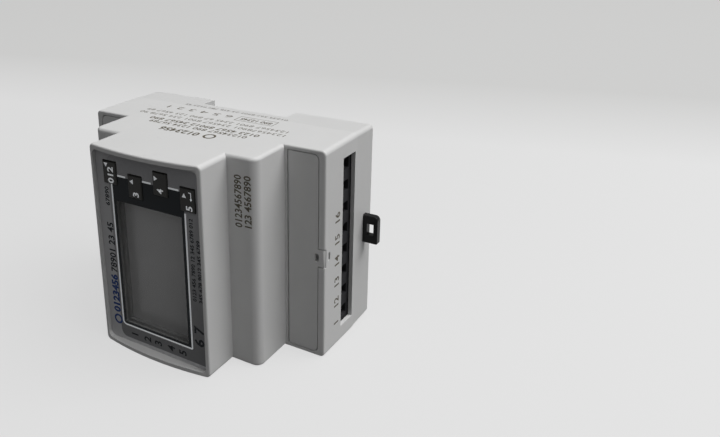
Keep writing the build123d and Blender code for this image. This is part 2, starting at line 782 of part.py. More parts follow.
# Power board on the posts of the base, with a hole for each terminal's leg
power_half = base_x - 4 * fit
power_z = (base_z[0] + board_gap, base_z[1] - board_gap)
with BuildPart() as power_board:
    block(around(0, power_half), (power_board_y, power_back), power_z)
    clear_y = (power_board_y - past, power_back + past)
    pegs(power_posts, case_screw[2] + fit, clear_y, Mode.SUBTRACT, shank_sides)
    for side, row in ((1, bottom_row), (-1, top_row)):
        leg_x = around(side * screw_x, leg_width / 2 + fit)
        for z in row:
            block(leg_x, clear_y, around(z, leg_thickness / 2 + fit), Mode.SUBTRACT)
save(power_board, "power_board")
screws("power_screws", power_posts, power_board_y, 1, through(case_screw))

# Power supply: transformer, capacitors, surge protection and the couplers of the pulse outputs
core_x, core_z = on_board(core_place)
core_y = (power_board_y - core_rise - core_size[1], power_board_y - core_rise)
core_middle = sum(core_y) / 2
with BuildPart() as transformer_core:
    block(around(core_x, core_size[0] / 2), core_y, around(core_z, core_size[2] / 2))
    for side in (-1, 1):
        core_hole_x = around(core_x + side * (core_leg + core_window[0]) / 2, core_window[0] / 2)
        core_hole_y = around(core_middle, core_window[1] / 2)
        block(core_hole_x, core_hole_y, around(core_z, core_size[2]), Mode.SUBTRACT)
save(transformer_core, "transformer_core")

with BuildPart() as transformer_coil:
    coil_x = around(core_x, core_leg / 2 + core_window[0] - coil_gap)
    coil_y = around(core_middle, core_window[1] / 2 - coil_gap)
    coil_z = around(core_z, core_size[2] / 2 + core_window[0])
    block(coil_x, coil_y, coil_z)
    fillet(transformer_coil.edges().filter_by(Axis.Y), coil_rounding)
    leg_x = around(core_x, (core_leg + coil_gap) / 2)
    leg_z = around(core_z, (core_size[2] + coil_gap) / 2)
    block(leg_x, (coil_y[0] - past, coil_y[1] + past), leg_z, Mode.SUBTRACT)
    foot_y = (coil_y[1] - coil_foot, power_board_y)
    for z in (coil_z[0] + coil_rounding, coil_z[1] - coil_rounding):
        block(around(core_x, core_leg / 2), foot_y, around(z, coil_foot))
save(transformer_coil, "transformer_coil")

with BuildPart() as smoothing_capacitors:
    groove_y = (power_board_y - groove_rise - groove_width, power_board_y - groove_rise)
    cans = [on_board(place) for place in smoothing_places]
    neck_y = (groove_y[0] - fit, groove_y[1] + fit)
    pegs(cans, smoothing_radius, (power_board_y - smoothing_height, power_board_y), sides=can_sides)
    pegs(cans, smoothing_radius + past, groove_y, Mode.SUBTRACT, can_sides)
    pegs(cans, smoothing_radius - groove_depth, neck_y, sides=can_sides)
save(smoothing_capacitors, "smoothing_capacitors")

with BuildPart() as film_capacitor:
    upon(power_board_y, film_size, on_board(film_place))
    fillet(film_capacitor.edges().filter_by(Axis.Y), film_rounding)
save(film_capacitor, "film_capacitor")

with BuildPart() as varistors:
    disc_y = power_board_y - varistor_rise
    for place in varistor_places:
        x, z = on_board(place)
        with BuildSketch(Plane(origin=(x - varistor_thickness / 2, disc_y, z), z_dir=(1, 0, 0))):
            RegularPolygon(varistor_radius, can_sides)
        extrude(amount=varistor_thickness)
        for lead_z in around(z, lead_spacing / 2):
            lead_half = lead_thickness / 2
            block(around(x, lead_half), (disc_y, power_board_y), around(lead_z, lead_half))
save(varistors, "varistors")

with BuildPart() as optocouplers:
    lead_length, lead_height, lead_width = coupler_lead
    for place in coupler_places:
        x, z = on_board(place)
        upon(power_board_y - coupler_rise, coupler_size, (x, z))
        for side in (-1, 1):
            lead_x = (x + side * (coupler_size[0] / 2 - fit), x + side * (coupler_size[0] / 2 + lead_length))
            for lead_z in around(z, header_pitch / 2):
                lead_y = (power_board_y - lead_height, power_board_y)
                block(lead_x, lead_y, around(lead_z, lead_width / 2))
save(optocouplers, "optocouplers")
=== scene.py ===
"""Dresses the three-phase energy meter: moulded shells, sunk panel, keys, marks, stage and camera."""

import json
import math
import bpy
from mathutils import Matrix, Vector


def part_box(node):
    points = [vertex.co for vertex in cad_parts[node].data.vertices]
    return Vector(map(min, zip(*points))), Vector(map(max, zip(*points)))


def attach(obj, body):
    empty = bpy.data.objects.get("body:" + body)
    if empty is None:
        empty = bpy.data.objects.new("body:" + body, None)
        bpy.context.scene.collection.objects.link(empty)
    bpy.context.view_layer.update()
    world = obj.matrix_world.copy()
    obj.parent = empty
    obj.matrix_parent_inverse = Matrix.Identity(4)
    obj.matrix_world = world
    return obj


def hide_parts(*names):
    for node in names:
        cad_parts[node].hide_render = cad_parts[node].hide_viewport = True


bl_info = {
    "name": "Three-phase energy meter",
    "version": (1, 0, 0),
    "blender": (4, 5, 0),
    "location": "3D View > Sidebar > Meter",
    "description": "Finishes the packed meter and sets its stage",
    "category": "Object",
}

import bpy
from bpy.props import FloatProperty, FloatVectorProperty, PointerProperty
from mathutils import Matrix, Vector

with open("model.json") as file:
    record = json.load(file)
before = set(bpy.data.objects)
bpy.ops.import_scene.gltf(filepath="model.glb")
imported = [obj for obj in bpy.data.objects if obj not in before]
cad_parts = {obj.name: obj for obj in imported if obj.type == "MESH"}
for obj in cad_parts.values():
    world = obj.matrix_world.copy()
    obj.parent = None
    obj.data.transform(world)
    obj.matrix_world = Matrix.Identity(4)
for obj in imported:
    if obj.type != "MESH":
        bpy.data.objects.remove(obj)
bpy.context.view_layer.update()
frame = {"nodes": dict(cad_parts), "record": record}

MM = 0.001
RIGHT = Vector((1, 0, 0))
DEEP = Vector((0, 1, 0))
UP = Vector((0, 0, 1))


def carrier(node):
    """The body that a node rides on."""
    for body, nodes in frame["record"]["behaviour"]["bodies"].items():
        if node in nodes:
            return body
    raise ValueError(f"no body carries {node}")


def at(x, y, z):
    """A place in the meter, given in millimetres."""
    return Vector((x, y, z)) * MM


# ---------------------------------------------------------------- where the marks are, in millimetres

# How a printed surface is read: the way its rows run, then the way its numbers stand
FRONT_LEVEL = (RIGHT, UP)
FRONT_RISING = (UP, -RIGHT)
END_RISING = (UP, -DEEP)
TOP_TURNED = (-RIGHT, -DEEP)

# For each key: its number, how long it is and where its middle is, then how its arrow turns and where it is
KEY_MARKS = {
    "voltage": ("012", 5.6, (-14.3, 62.3), 180, (-16.2, 65.7)),
    "demand": ("3", 1.5, (-4.0, 57.6), 90, (-5.5, 61.7)),
    "power": ("4", 1.6, (6.1, 60.8), -90, (4.2, 64.7)),
    "energy": ("5", 1.6, (17.1, 57.5), 0, (15.2, 61.2)),
}
KEY_NUMBER, KEY_ARROW = 2.3, 0.92
# The bent arrow on one key: the width, height and place of its bars, then the size and place of its head
BENT_KEY = "energy"
BENT_BARS = ((0.25, 2.2, 17.8, 61.5), (0.9, 0.25, 17.35, 62.6))
BENT_HEAD = (0.5, 17.8, 60.4)

# Rows that rise: number, height, place across, height of the middle, length if it is set, and boldness
BLUE_ROWS = (("0123456", 2.7, -17.0, 18.75, 14.4, 2.2),)
BLACK_ROWS = (
    ("78901 23 45", 2.6, -16.8, 36.0, 18.2, 1.0),
    ("67890", 1.7, -17.0, 54.4, 6.6, 0.7),
    ("0123 456 7890 12 345 6789 012", 1.4, 17.05, 40.0, 28.2, 0.6),
    ("345 678 9012 345 6789", 1.4, 19.5, 36.6, 21.5, 0.6),
    ("1", 2.9, -9.7, 5.1, 0.0, 1.0),
    ("2", 2.9, -4.05, 5.1, 0.0, 1.0),
    ("3", 2.9, 0.6, 5.1, 0.0, 1.0),
    ("4", 2.9, 6.2, 5.1, 0.0, 1.0),
    ("5", 2.9, 11.0, 5.1, 0.0, 1.0),
    ("6", 3.6, 18.2, 11.2, 2.8, 1.8),
    ("7", 3.6, 18.2, 15.6, 2.8, 1.8),
)
SHOULDER_ROWS = (
    ("01234567890", 2.55, 26.3, 57.45, 17.3, 1.0),
    ("123 4567890", 2.45, 29.8, 57.5, 16.9, 1.0),
)
SHOULDER_FACE = -17.3
# Rings: radius, width of the line and place
BLUE_RING = (1.85, 0.72, -17.0, 8.9)
TOP_RING = (2.25, 0.75, 7.7, -6.0)

# Rows on the top: number, height, start, end and place in depth, then boldness
TOP_ROWS = (
    ("0123456", 3.1, 3.5, -12.8, -6.0, 1.6),
    ("01234567 890 1234 56789", 2.2, 18.9, -21.4, -1.1, 0.5),
    ("0123 4567 89012 34567 890", 2.3, 21.6, -23.8, 2.1, 0.8),
    ("12345678901 234567 8901 234 5678 90", 2.0, 28.9, -31.8, 6.3, 0.0),
    ("1234567 8901 2345 67 890 123 4567 89", 2.0, 27.9, -31.5, 9.9, 0.0),
    ("6 5 4 3 2 1", 2.6, 1.0, -27.6, 15.9, 0.0),
    ("890 12345", 2.2, 18.0, 5.4, 15.5, 0.8),
    ("01234 567 8901 23 456 789 0123 45", 1.5, 20.5, -23.3, 21.6, -0.4),
)
# The frame round one of them: width, height and place of each bar
TOP_BARS = (
    (15.4, 0.25, 11.7, 13.2),
    (15.4, 0.25, 11.7, 17.8),
    (0.25, 4.6, 4.1, 15.5),
    (0.25, 4.6, 19.3, 15.5),
)
# How thick the print on the top is against the other print: it lies on the edge of the meter's box
TOP_PRINT = 0.1

# Numbers beside the wire holes: the first is beside the first pole
END_NUMBERS = ("1", "12", "13", "14", "15", "16")
FIRST_POLE, POLE_STEP, END_DEPTH = 9.0, 7.62, 7.7

# ---------------------------------------------------------------- what the finishes and the gaps go by

# Outline round the display: its middle, half its width, its foot and its top
LINE_MIDDLE, LINE_HALF, LINE_LOW, LINE_HIGH = (v * MM for v in (0.12, 14.82, 7.9, 62.4))
LINE_LEFT_CORNER, LINE_RIGHT_CORNER = (v * MM for v in (1.3, 0.4))
# Where its left and its right side end, and from where to where its top shows between the keys
LINE_LEFT_END, LINE_RIGHT_END = 59.5 * MM, 55.3 * MM
LINE_TOPS = tuple((start * MM, end * MM) for start, end in ((-12.3, -8.5), (-2.1, 2.0), (8.4, 12.9)))
# Lighter strip of the sheet: its middle and half its length, its edge and its corner
STRIP_MIDDLE, STRIP_HALF, STRIP_EDGE, STRIP_CORNER = (v * MM for v in (36.1, 33.1, 15.9, 2.6))
# The view through the sheet: half its width, its foot and its top
VIEW_HALF, VIEW_LOW, VIEW_HIGH = (v * MM for v in (13.45, 8.95, 53.65))
# Terminal covers: their pivot, their middle, half their height, then where the tab starts and half its height
COVER_PIVOT, COVER_MIDDLE, COVER_HALF, TAB_START, TAB_HALF = (v * MM for v in (34.5, 36.0, 34.6, 10.4, 3.2))
# Points this little past an edge still count to it
COVER_SLACK = 0.05 * MM

# Fine rounded edges, then how near points are made one, how flat faces are and how sharp corners
FINE_EDGE, SHEET_EDGE = 0.08 * MM, 0.05 * MM
MERGED, PRINT_MERGED = 0.002 * MM, 0.0005 * MM
FLAT_ANGLE, CORNER_ANGLE = math.radians(0.5), math.radians(30.0)
# A number's height against its text size, the points of a ring and how much of a bar its corners take
TEXT_SHARE, RING_POINTS, BAR_CORNER = 0.7, 32, 0.25

# ---------------------------------------------------------------- sizes and colours


def length(name, description, default):
    return FloatProperty(name=name, description=description, default=default * MM, unit="LENGTH", precision=5)


def colour(name, description, default):
    return FloatVectorProperty(name=name, description=description, default=default, size=3, subtype="COLOR",
                               min=0, max=1)


class MeterSizes(bpy.types.PropertyGroup):
    """Sizes of what is finished or printed here"""

    case_edge: length("Case edge", "Rounding of the shells' moulded edges", 0.16)
    cover_gap: length("Cover gap", "How much wider the gap round each terminal cover is drawn", 0.18)
    small_edge: length("Small edge", "Rounding of the keys', clip's and bezel's edges", 0.1)
    print_height: length("Print height", "Height of the printed marks above their surface", 0.02)
    outline_width: length("Outline width", "Width of the pale line round the display", 0.58)
    number_height: length("Number height", "Height of the numbers beside the wire holes", 3.0)
    stroke: length("Stroke", "How much the strokes of bold numbers grow on each side", 0.08)


class MeterColours(bpy.types.PropertyGroup):
    """Colours of the finishes"""

    case: colour("Case", "Light grey of the front case and the covers", (0.70, 0.70, 0.695))
    base: colour("Base", "Light grey of the rear base", (0.67, 0.67, 0.665))
    overlay: colour("Overlay", "Grey of the sunk sheet", (0.27, 0.271, 0.278))
    strip: colour("Strip", "Lighter grey strip of the sheet", (0.62, 0.621, 0.63))
    black_print: colour("Black print", "Print round the display", (0.006, 0.009, 0.012))
    pale_print: colour("Pale print", "Outline and arrows", (0.90, 0.92, 0.93))
    # painted light: the pale print glows a little by itself, though it is no lamp
    painted_glow: colour("Print shine", "How much the pale print lights up by itself", (0.17, 0.175, 0.18))
    laser: colour("Laser marks", "Brown-grey of the marks on the case", (0.10, 0.086, 0.058))
    blue_print: colour("Blue print", "Blue numbers on the sheet", (0.002, 0.035, 0.17))
    display: colour("Display", "Unlit display glass", (0.69, 0.69, 0.69))
    bezel: colour("Bezel", "Dark grey of the display's frame", (0.34, 0.342, 0.34))
    floor: colour("Floor", "Pale floor", (0.80, 0.80, 0.80))


# ---------------------------------------------------------------- materials

KEY_BLACK = (0.015, 0.0145, 0.0125)
PLUNGER_BLACK = (0.02, 0.02, 0.02)
TERMINAL_GREY = (0.034, 0.034, 0.037)
CLIP_BLACK = (0.0035, 0.0035, 0.004)
MILKY_WHITE = (0.82, 0.83, 0.82)
MASK_GREEN = (0.02, 0.13, 0.05)
RUN_GREEN = (0.035, 0.2, 0.08)
HEADER_BLACK = (0.012, 0.012, 0.013)
CHIP_BLACK = (0.02, 0.02, 0.022)
FERRITE_GREY = (0.05, 0.05, 0.055)
TAPE_YELLOW = (0.72, 0.56, 0.1)
SLEEVE_BLUE = (0.02, 0.03, 0.07)
FILM_YELLOW = (0.6, 0.58, 0.1)
EPOXY_BLUE = (0.05, 0.12, 0.3)
ZINC = (0.55, 0.55, 0.57)
GOLD = (0.76, 0.58, 0.28)
LENS_CLEAR = (0.95, 0.95, 0.95)
NO_LIGHT = (0, 0, 0)

# Scales of the noises, per metre, and depths of the grains
FLOW_SCALE, GRAIN_SCALE, BRUSH_SCALE, WEAR_SCALE = 60.0, 3200.0, 900.0, 220.0
GRAIN_DEPTH, COARSE_DEPTH, BRUSH_DEPTH, SHEET_DEPTH = (v * MM for v in (0.004, 0.02, 0.002, 0.0015))
RUN_DEPTH, TURN_DEPTH = 0.03 * MM, 0.05 * MM
# How far a plastic's clouds go from its colour, and how dark worn metal and the lines of a tape are
PLASTIC_CLOUDS, METAL_WEAR, TAPE_LINES = 0.03, 0.8, 0.75
# How the sheet and the display go from dark to light, as shares of their colours: painted shade, lighter
# towards their tops, the display also towards its left
SHEET_SHADED, SHEET_LIT, SHEET_SHADE_RISE = 0.75, 2.4, 0.35
DISPLAY_SHADED, DISPLAY_LIT, DISPLAY_SHADE_RISE, DISPLAY_SHADE_SIDE = 0.7, 1.3, 0.8, 0.25
# The length over which the edge of a print fades
PRINT_SOFT = 0.08 * MM


def scaled(shade, share):
    """A colour made lighter or darker."""
    return tuple(c * share for c in shade)


class Wire:
    """A shader value: a sum, a product or a comparison on it adds Math nodes."""

    def __init__(self, finish, socket):
        self.finish = finish
        self.socket = socket

    def math(self, operation, first, second=0.0, clamp=False):
        settings = {"operation": operation, "use_clamp": clamp}
        return self.finish.node("ShaderNodeMath", settings, {0: first, 1: second})

    def __add__(self, other):
        return self.math("ADD", self, other)

    def __sub__(self, other):
        return self.math("SUBTRACT", self, other)

    def __rsub__(self, other):
        return self.math("SUBTRACT", other, self)

    def __mul__(self, other):
        return self.math("MULTIPLY", self, other)

    def __truediv__(self, other):
        return self.math("DIVIDE", self, other)

    def __or__(self, other):
        return self.math("MAXIMUM", self, other)

    def __and__(self, other):
        return self.math("MINIMUM", self, other)

    def root(self):
        return self.math("SQRT", self)

    def __abs__(self):
        return self.math("ABSOLUTE", self)

    def over(self, edge, soft=PRINT_SOFT):
        """1 where the value is above the edge, with a soft step."""
        return self.math("ADD", (self - edge) / soft, 0.5, clamp=True)

    def under(self, edge, soft=PRINT_SOFT):
        """1 where the value is below the edge, with a soft step."""
        return self.math("ADD", (edge - self) / soft, 0.5, clamp=True)

    def within(self, low, high):
        return self.over(low) & self.under(high)

    __radd__ = __add__
    __rmul__ = __mul__


class Finish:
    """A material whose nodes end in one shader."""

    def __init__(self, name, holder=None):
        self.holder = holder or bpy.data.materials.new(name)
        self.holder.use_nodes = True
        self.tree = self.holder.node_tree
        self.tree.nodes.clear()

    def node(self, kind, settings=None, values=None, out=0):
        made = self.tree.nodes.new(kind)
        for name, value in (settings or {}).items():
            setattr(made, name, value)
        for name, value in (values or {}).items():
            self.join(made.inputs[name], value)
        return Wire(self, made.outputs[out])

    def join(self, socket, value):
        if isinstance(value, Wire):
            self.tree.links.new(value.socket, socket)
        elif socket.type == "RGBA":
            socket.default_value = (*value[:3], 1)
        else:
            socket.default_value = value

    def place(self):
        """Where a point of the piece is, as its three lengths."""
        spot = self.node("ShaderNodeTexCoord", out="Object")
        return spot, [self.node("ShaderNodeSeparateXYZ", values={0: spot}, out=axis) for axis in range(3)]

    def mix(self, factor, first, second):
        settings = {"data_type": "RGBA"}
        return self.node("ShaderNodeMix", settings, {0: factor, 6: first, 7: second}, out=2)

    def noise(self, spot, scale, detail=2.0, rough=0.5):
        values = {"Vector": spot, "Scale": scale, "Detail": detail, "Roughness": rough}
        return self.node("ShaderNodeTexNoise", values=values)

    def bump(self, height, depth):
        return self.node("ShaderNodeBump", values={"Height": height, "Distance": depth, "Strength": 1.0})

    def surface(self, **values):
        """Ends the material in a Principled shader with these values on its sockets."""
        named = {}
        for name, value in values.items():
            named[name.replace("_", " ").title().replace("Ior", "IOR")] = value
        self.node_out(self.node("ShaderNodeBsdfPrincipled", values=named, out="BSDF"))
        return self.holder

    def node_out(self, shader):
        """Ends the material in this shader."""
        end = self.tree.nodes.new("ShaderNodeOutputMaterial")
        self.tree.links.new(shader.socket, end.inputs["Surface"])


def moulded(name, shade, rough=0.5, grain=GRAIN_SCALE, depth=GRAIN_DEPTH, specular=0.5, glow=NO_LIGHT):
    """Spark-eroded plastic: a fine grain, faint flow clouds and uneven gloss."""
    finish = Finish(name)
    spot, _ = finish.place()
    cloud = finish.noise(spot, FLOW_SCALE, 3.0)
    fine = finish.noise(spot, grain, 2.0, 0.6)
    darker, lighter = scaled(shade, 1 - PLASTIC_CLOUDS), scaled(shade, 1 + PLASTIC_CLOUDS)
    return finish.surface(base_color=finish.mix(cloud, darker, lighter), roughness=rough - 0.06 + 0.12 * fine,
                          specular_ior_level=specular, normal=finish.bump(fine, depth), emission_color=glow,
                          emission_strength=1.0)


def metal(name, shade, rough=0.35):
    """Plated metal with fine uneven polish."""
    finish = Finish(name)
    spot, _ = finish.place()
    stretch = finish.node("ShaderNodeMapping", values={"Vector": spot, "Scale": (1.0, 1.0, 6.0)})
    brushed = finish.noise(stretch, BRUSH_SCALE, 3.0)
    cloud = finish.noise(spot, WEAR_SCALE, 2.0)
    return finish.surface(base_color=finish.mix(cloud, scaled(shade, METAL_WEAR), shade), metallic=1.0,
                          roughness=rough - 0.08 + 0.16 * brushed, normal=finish.bump(brushed, BRUSH_DEPTH))


def printed_sheet(colours, sizes):
    """The sunk sheet: grey satin with a lighter strip, near-black print round the display, a pale outline
    that glows by itself as painted light, and painted shade that darkens the sheet towards its foot and
    lightens it towards its top.
    """
    finish = Finish("printed_sheet")
    spot, (x, _, z) = finish.place()
    half = sizes.outline_width / 2
    corner = LINE_LEFT_CORNER - (LINE_LEFT_CORNER - LINE_RIGHT_CORNER) * x.over(0.0)
    line = corner_distance(abs(x - LINE_MIDDLE), z, LINE_HALF, LINE_LOW, corner)
    sides = x.under(0.0) & z.under(LINE_LEFT_END) | x.over(0.0) & z.under(LINE_RIGHT_END)
    outline = abs(line).under(half) & sides
    for start, end in LINE_TOPS:
        outline = outline | abs(z - LINE_HIGH).under(half) & x.within(start, end)
    black = line.under(-half) & z.under(LINE_HIGH - half)
    below = abs(z - STRIP_MIDDLE) * -1.0
    strip = corner_distance(0.0 - x, below, STRIP_EDGE, -STRIP_HALF, STRIP_CORNER).over(0.0)
    cloud = finish.noise(spot, 90.0, 2.0)
    # painted shade: the sheet's colour goes from a darker copy at its foot to a lighter copy at its top
    height = (z / STRIP_MIDDLE) * SHEET_SHADE_RISE
    darker, lighter = scaled(colours.overlay, SHEET_SHADED), scaled(colours.overlay, SHEET_LIT)
    shade = finish.mix(height + 0.05 * cloud, darker, lighter)
    shade = finish.mix(strip, shade, colours.strip)
    shade = finish.mix(outline, finish.mix(black, shade, colours.black_print), colours.pale_print)
    fine = finish.noise(spot, 2600.0, 2.0)
    # painted light: the pale outline glows by itself
    return finish.surface(base_color=shade, roughness=0.36 + 0.08 * fine, specular_ior_level=0.1,
                          normal=finish.bump(fine, SHEET_DEPTH), emission_strength=1.0,
                          emission_color=finish.mix(outline, NO_LIGHT, colours.painted_glow))


def corner_distance(across, up, half, low, radius):
    """How far a point lies outside a rounded corner; less than nothing inside."""
    out = (across - (half - radius)) | 0.0
    down = ((low + radius) - up) | 0.0
    return (out * out + down * down).root() - radius


def clear_lens(colours):
    """The lens over the display: clear in the view and dark grey behind the sheet, with a polished face."""
    finish = Finish("smoked_lens")
    spot, (x, _, z) = finish.place()
    haze = finish.noise(spot, 120.0, 2.0)
    view = abs(x).under(VIEW_HALF) & z.within(VIEW_LOW, VIEW_HIGH)
    clear = finish.node("ShaderNodeBsdfTransparent", values={"Color": LENS_CLEAR})
    gloss = finish.node("ShaderNodeBsdfPrincipled", out="BSDF", values={
        "Base Color": colours.bezel, "Roughness": 0.06 + 0.05 * haze, "Specular IOR Level": 0.2})
    glossy = (0.04 + 0.02 * haze) | (1.0 - view)
    finish.node_out(finish.node("ShaderNodeMixShader", values={0: glossy, 1: clear, 2: gloss}))
    return finish.holder


def display_glass(colours):
    """Unlit display: a grey polariser with painted shade that makes it lighter towards its top and its left.
    """
    finish = Finish("display_glass")
    spot, (x, _, z) = finish.place()
    cloud = finish.noise(spot, 45.0, 2.0)
    # painted shade: the display is lighter towards its top and its left
    light = DISPLAY_SHADE_RISE * z / VIEW_HIGH - DISPLAY_SHADE_SIDE * x / VIEW_HALF + 0.1 * cloud
    darker, lighter = scaled(colours.display, DISPLAY_SHADED), scaled(colours.display, DISPLAY_LIT)
    fine = finish.noise(spot, 1500.0, 2.0)
    return finish.surface(base_color=finish.mix(light, darker, lighter), roughness=0.22 + 0.06 * fine,
                          specular_ior_level=0.3)


def solder_mask(name):
    """Circuit board: green lacquer over copper runs."""
    finish = Finish(name)
    spot, _ = finish.place()
    cells = finish.node("ShaderNodeTexVoronoi", {"distance": "MANHATTAN", "feature": "F1"},
                        {"Vector": spot, "Scale": 260.0}, out="Distance")
    runs = cells.over(0.42, 0.03)
    return finish.surface(base_color=finish.mix(runs, MASK_GREEN, RUN_GREEN), roughness=0.28 + 0.1 * runs,
                          coat_weight=0.3, normal=finish.bump(runs, RUN_DEPTH))


def wound_tape(name, shade):
    """Tape over a winding, with the lines of its turns."""
    finish = Finish(name)
    spot, _ = finish.place()
    turns = finish.node("ShaderNodeTexWave", {"wave_type": "BANDS", "bands_direction": "X"},
                        {"Vector": spot, "Scale": 180.0, "Distortion": 0.4}, out="Fac")
    return finish.surface(base_color=finish.mix(turns, scaled(shade, TAPE_LINES), shade),
                          roughness=0.3 + 0.1 * turns, normal=finish.bump(turns, TURN_DEPTH))


# ---------------------------------------------------------------- making pieces


def only(*pieces):
    """Selects these objects alone, the first of them active."""
    bpy.ops.object.select_all(action="DESELECT")
    for piece in pieces:
        piece.select_set(True)
    bpy.context.view_layer.objects.active = pieces[0]


def dress(node, material):
    """Gives a carried-over node its finish."""
    mesh = frame["nodes"][node].data
    mesh.materials.clear()
    mesh.materials.append(material)


def settle(piece, body, material):
    """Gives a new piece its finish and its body."""
    piece.data.materials.clear()
    piece.data.materials.append(material)
    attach(piece, body)


def loosen(piece, gap):
    """Draws a cover's sides and its tab's inwards, so that the gap round them shows; its pins stay."""
    points = piece.data.vertices
    side = 1 if points[0].co.x > 0 else -1
    middle = Vector((side * COVER_PIVOT, 0, COVER_MIDDLE))
    places = [(abs(point.co.x) - COVER_PIVOT, abs(point.co.z - COVER_MIDDLE)) for point in points]
    reach = max(out for out, _ in places)
    on_plate = [up < COVER_HALF + COVER_SLACK for _, up in places]
    past_pivot = [flag and out > 0 for flag, (out, _) in zip(on_plate, places)]
    on_tab = [out > TAB_START and up < TAB_HALF + COVER_SLACK for out, up in places]
    shrink(piece, on_plate, (1, 1, 1 - gap / COVER_HALF), middle)
    shrink(piece, past_pivot, (1 - gap / reach, 1, 1), middle)
    shrink(piece, on_tab, (1, 1, 1 - gap / TAB_HALF), middle)


def shrink(piece, chosen, value, middle):
    """Resizes the chosen points of a piece about a middle."""
    mesh = piece.data
    for part in (*mesh.edges, *mesh.polygons):
        part.select = False
    for point, flag in zip(mesh.vertices, chosen):
        point.select = flag
    bpy.ops.object.mode_set(mode="EDIT")
    bpy.ops.mesh.select_mode(type="VERT")
    bpy.ops.transform.resize(value=value, center_override=middle)
    bpy.ops.object.mode_set(mode="OBJECT")


def finer(node, material, edge=0.0, segments=2, whole=True, gap=0.0):
    """Puts a merged copy with rounded edges in a node's place.

    Its flat faces are made whole, unless they have many holes."""
    name = f"{node}_moulded"
    mesh = frame["nodes"][node].data.copy()
    mesh.name = name
    piece = bpy.data.objects.new(name, mesh)
    bpy.context.scene.collection.objects.link(piece)
    only(piece)
    bpy.ops.object.mode_set(mode="EDIT")
    bpy.ops.mesh.select_all(action="SELECT")
    bpy.ops.mesh.remove_doubles(threshold=MERGED)
    if whole:
        bpy.ops.mesh.dissolve_limited(angle_limit=FLAT_ANGLE)
    bpy.ops.object.mode_set(mode="OBJECT")
    if gap:
        loosen(piece, gap)
    if edge:
        bevel = piece.modifiers.new("edges", "BEVEL")
        bevel.width = edge
        bevel.segments = segments
        bevel.limit_method = "ANGLE"
        bevel.angle_limit = CORNER_ANGLE
        bevel.miter_outer = "MITER_ARC"
        bpy.ops.object.modifier_apply(modifier=bevel.name)
    bpy.ops.object.shade_smooth_by_angle(angle=CORNER_ANGLE)
    normals = piece.modifiers.new("flats", "WEIGHTED_NORMAL")
    normals.keep_sharp = True
    bpy.ops.object.modifier_apply(modifier=normals.name)
    settle(piece, carrier(node), material)
    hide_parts(node)
    return piece


def placed(piece, spot, way):
    """Turns a flat mesh onto a surface, read in the given way, and applies its place."""
    along, standing = way
    turn = Matrix((along, standing, along.cross(standing))).transposed().to_4x4()
    piece.matrix_world = Matrix.Translation(spot) @ turn
    only(piece)
    bpy.ops.object.transform_apply(location=True, rotation=True, scale=True)
    return piece


def row(text, height, spot, way, thick, reach=0.0, bold=0.0):
    """One row of numbers on a surface, as a mesh in its place, stretched to its reach if that is given."""
    bpy.ops.object.select_all(action="DESELECT")
    bpy.ops.object.text_add(location=(0, 0, 0))
    piece = bpy.context.object
    piece.data.body = text
    piece.data.size = height / TEXT_SHARE
    piece.data.offset = bold
    piece.data.extrude = thick / 2
    piece.data.align_x = "CENTER"
    piece.data.align_y = "CENTER"
    piece.data.resolution_u = 2
    bpy.ops.object.convert(target="MESH")
    piece = bpy.context.object
    if reach:
        piece.scale = (reach / piece.dimensions.x, 1, 1)
        bpy.ops.object.transform_apply(location=False, rotation=False, scale=True)
    return placed(piece, spot, way)


def rising_rows(rows, depth, sizes):
    """Rows of numbers that rise on a surface that faces the front."""
    return [row(text, height * MM, at(across, depth, middle), FRONT_RISING, sizes.print_height,
                reach * MM, bold * sizes.stroke)
            for text, height, across, middle, reach, bold in rows]


def bar(wide, high, spot, way, thick):
    """A thin printed bar with small round corners."""
    bpy.ops.object.select_all(action="DESELECT")
    bpy.ops.mesh.primitive_plane_add(size=1, location=(0, 0, 0))
    piece = bpy.context.object
    piece.scale = (wide, high, 1)
    bpy.ops.object.transform_apply(location=False, rotation=False, scale=True)
    bpy.ops.object.mode_set(mode="EDIT")
    bpy.ops.mesh.select_all(action="SELECT")
    bpy.ops.mesh.bevel(offset=min(wide, high) * BAR_CORNER, affect="VERTICES", segments=2)
    return placed(raised(thick), spot, way)


def arrow(size, turn, spot, way, thick):
    """A printed arrowhead that points up its surface, turned by the given angle."""
    bpy.ops.object.select_all(action="DESELECT")
    bpy.ops.mesh.primitive_circle_add(vertices=3, radius=size, fill_type="NGON", location=(0, 0, 0),
                                      rotation=(0, 0, math.radians(turn)))
    bpy.ops.object.transform_apply(location=False, rotation=True, scale=False)
    bpy.ops.object.mode_set(mode="EDIT")
    return placed(raised(thick), spot, way)


def ring(radius, wide, spot, way, thick):
    """A printed ring."""
    bpy.ops.object.select_all(action="DESELECT")
    bpy.ops.mesh.primitive_circle_add(vertices=RING_POINTS, radius=radius, fill_type="NOTHING",
                                      location=(0, 0, 0))
    bpy.ops.object.mode_set(mode="EDIT")
    bpy.ops.mesh.select_all(action="SELECT")
    bpy.ops.mesh.extrude_edges_move(TRANSFORM_OT_translate={"value": (0, 0, 0)})
    inner = 1 - wide / radius
    bpy.ops.transform.resize(value=(inner, inner, 1), center_override=(0, 0, 0))
    return placed(raised(thick), spot, way)


def raised(thick):
    """Gives the flat mesh in hand its thickness."""
    bpy.ops.mesh.select_all(action="SELECT")
    bpy.ops.mesh.extrude_region_move(TRANSFORM_OT_translate={"value": (0, 0, thick)})
    bpy.ops.object.mode_set(mode="OBJECT")
    return bpy.context.object


def printed(name, marks, body, material):
    """Joins printed marks into one piece that rides on a body."""
    only(*marks)
    if len(marks) > 1:
        bpy.ops.object.join()
    piece = bpy.context.object
    piece.name = name
    bpy.ops.object.mode_set(mode="EDIT")
    bpy.ops.mesh.select_all(action="SELECT")
    bpy.ops.mesh.remove_doubles(threshold=PRINT_MERGED)
    bpy.ops.mesh.normals_make_consistent(inside=False)
    bpy.ops.object.mode_set(mode="OBJECT")
    settle(piece, body, material)
    return piece


# ---------------------------------------------------------------- pieces


